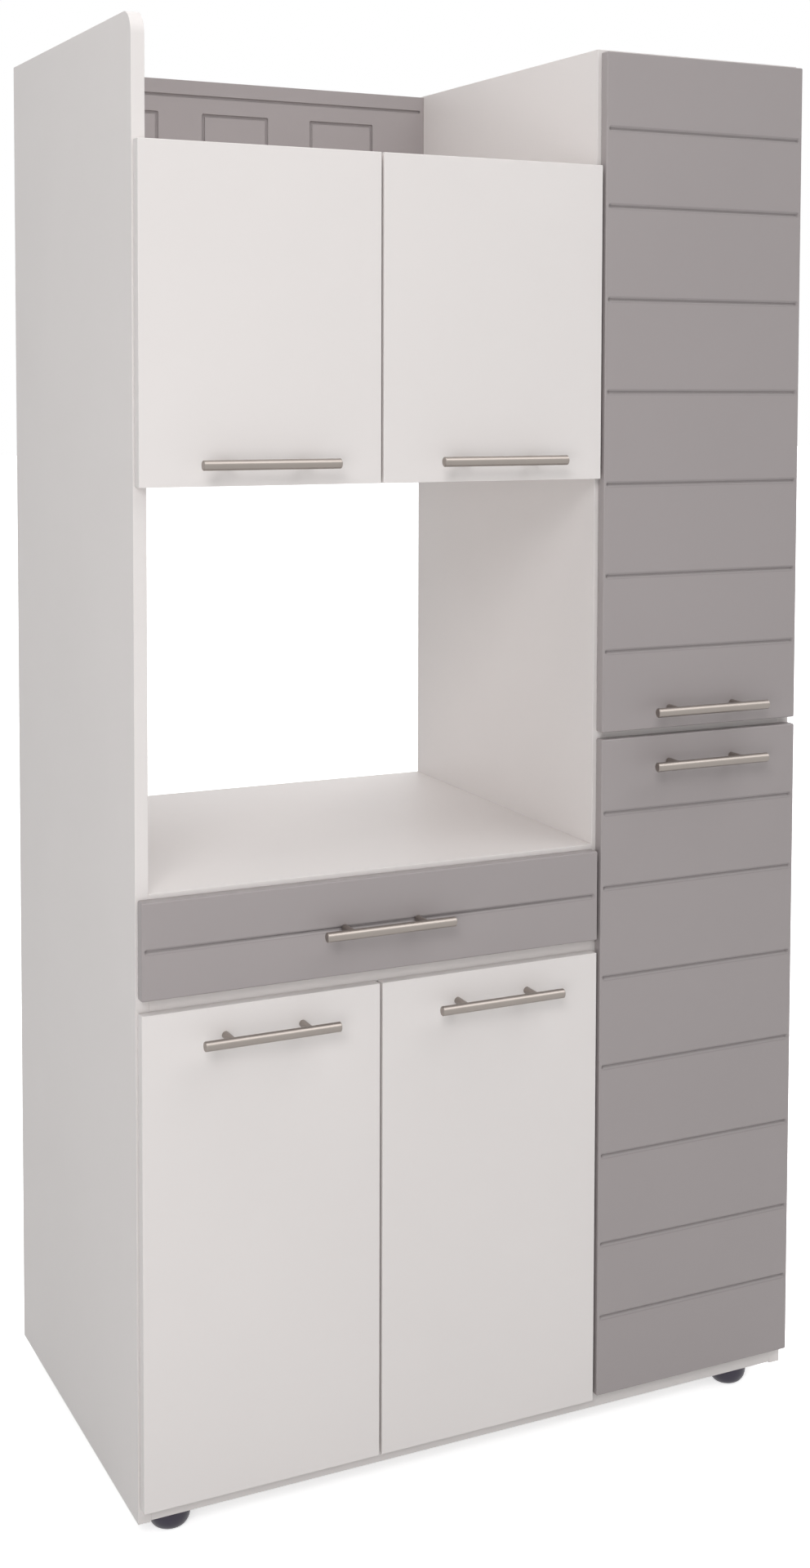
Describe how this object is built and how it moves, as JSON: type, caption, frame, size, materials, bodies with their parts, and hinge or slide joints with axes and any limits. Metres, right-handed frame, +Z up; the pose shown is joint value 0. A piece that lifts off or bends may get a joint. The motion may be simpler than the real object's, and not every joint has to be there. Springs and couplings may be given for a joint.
{
  "type": "microwave cabinet",
  "caption": "Tall kitchen unit with an open microwave niche, a drawer, pairs of white doors above and below, and a cupboard column behind grey routed doors",
  "frame": {"origin": "floor point below the middle of the whole cabinet's bounding box", "axes": "+X to the cabinet's right as seen from the front, +Y towards its back, +Z up"},
  "size_m": [0.9, 0.6097, 1.783],
  "materials": {
    "white_board": "satin off-white melamine-faced chipboard with matching edging",
    "grey_board": "satin warm grey foil over routed fibreboard",
    "white_sheet": "white lacquered hardboard sheet",
    "satin_steel": "satin brushed steel bar",
    "zinc_fittings": "zinc or nickel plated steel fittings",
    "black_plastic": "smooth dark navy-black moulded plastic",
    "beech": "bare fluted hardwood"
  },
  "bodies": {
    "carcass": {"left_side_panel": "white_board", "divider_panel": "white_board", "right_side_panel": "white_board", "base_panel": "white_board", "microwave_deck": "white_board", "upper_cabinet_bottom": "white_board", "upper_cabinet_top": "white_board", "gallery_back_board": "grey_board", "column_top_panel": "white_board", "column_fixed_shelf": "white_board", "lower_cabinet_shelf": "white_board", "column_shelf_1": "white_board", "column_shelf_2": "white_board", "column_shelf_3": "white_board", "column_shelf_4": "white_board", "shelf_pins": "zinc_fittings", "lower_back_sheet": "white_sheet", "column_back_sheet": "white_sheet", "feet": "black_plastic", "cam_locks": "zinc_fittings", "connecting_bolts": "zinc_fittings", "wood_dowels": "beech", "hinge_arms": "zinc_fittings", "carcass_screws": "zinc_fittings", "cabinet_runners": "zinc_fittings", "drawer_shelf": "white_board"},
    "runner_middles": {"runner_middles": "zinc_fittings"},
    "drawer": {"drawer_front": "grey_board", "drawer_left_side": "white_board", "drawer_right_side": "white_board", "drawer_back": "white_board", "drawer_bottom": "white_sheet", "drawer_runners": "zinc_fittings", "drawer_screws": "zinc_fittings", "drawer_handle_bar": "satin_steel", "drawer_handle_posts": "satin_steel"},
    "upper_left_door": {"upper_left_door": "white_board", "upper_left_hinge_cups": "zinc_fittings", "upper_left_handle_bar": "satin_steel", "upper_left_handle_posts": "satin_steel"},
    "upper_right_door": {"upper_right_door": "white_board", "upper_right_hinge_cups": "zinc_fittings", "upper_right_handle_bar": "satin_steel", "upper_right_handle_posts": "satin_steel"},
    "lower_left_door": {"lower_left_door": "white_board", "lower_left_hinge_cups": "zinc_fittings", "lower_left_handle_bar": "satin_steel", "lower_left_handle_posts": "satin_steel"},
    "lower_right_door": {"lower_right_door": "white_board", "lower_right_hinge_cups": "zinc_fittings", "lower_right_handle_bar": "satin_steel", "lower_right_handle_posts": "satin_steel"},
    "column_upper_door": {"column_upper_door": "grey_board", "column_upper_hinge_cups": "zinc_fittings", "column_upper_handle_bar": "satin_steel", "column_upper_handle_posts": "satin_steel"},
    "column_lower_door": {"column_lower_door": "grey_board", "column_lower_hinge_cups": "zinc_fittings", "column_lower_handle_bar": "satin_steel", "column_lower_handle_posts": "satin_steel"}
  },
  "joints": [
    {"name": "drawer_slide", "type": "slide", "parent": "carcass", "child": "drawer", "axis": [0, -1, 0], "range_m": [0, 0.4]},
    {"name": "runner_middle_slide", "type": "slide", "parent": "carcass", "child": "runner_middles", "axis": [0, -1, 0], "range_m": [0, 0.2]},
    {"name": "upper_left_door_hinge", "type": "hinge", "parent": "carcass", "child": "upper_left_door", "pos_m": [-0.448, -0.26685, 1.44], "axis": [0, 0, -1], "range_deg": [0, 100]},
    {"name": "upper_right_door_hinge", "type": "hinge", "parent": "carcass", "child": "upper_right_door", "pos_m": [0.149, -0.26685, 1.44], "axis": [0, 0, 1], "range_deg": [0, 100]},
    {"name": "lower_left_door_hinge", "type": "hinge", "parent": "carcass", "child": "lower_left_door", "pos_m": [-0.448, -0.26685, 0.3385], "axis": [0, 0, -1], "range_deg": [0, 100]},
    {"name": "lower_right_door_hinge", "type": "hinge", "parent": "carcass", "child": "lower_right_door", "pos_m": [0.149, -0.26685, 0.3385], "axis": [0, 0, 1], "range_deg": [0, 100]},
    {"name": "column_upper_door_hinge", "type": "hinge", "parent": "carcass", "child": "column_upper_door", "pos_m": [0.449, -0.26685, 1.3485], "axis": [0, 0, 1], "range_deg": [0, 100]},
    {"name": "column_lower_door_hinge", "type": "hinge", "parent": "carcass", "child": "column_lower_door", "pos_m": [0.449, -0.26685, 0.4785], "axis": [0, 0, 1], "range_deg": [0, 100]}
  ],
  "couplings": [
    {"joint": "runner_middle_slide", "follows": "drawer_slide", "ratio": 0.5}
  ]
}
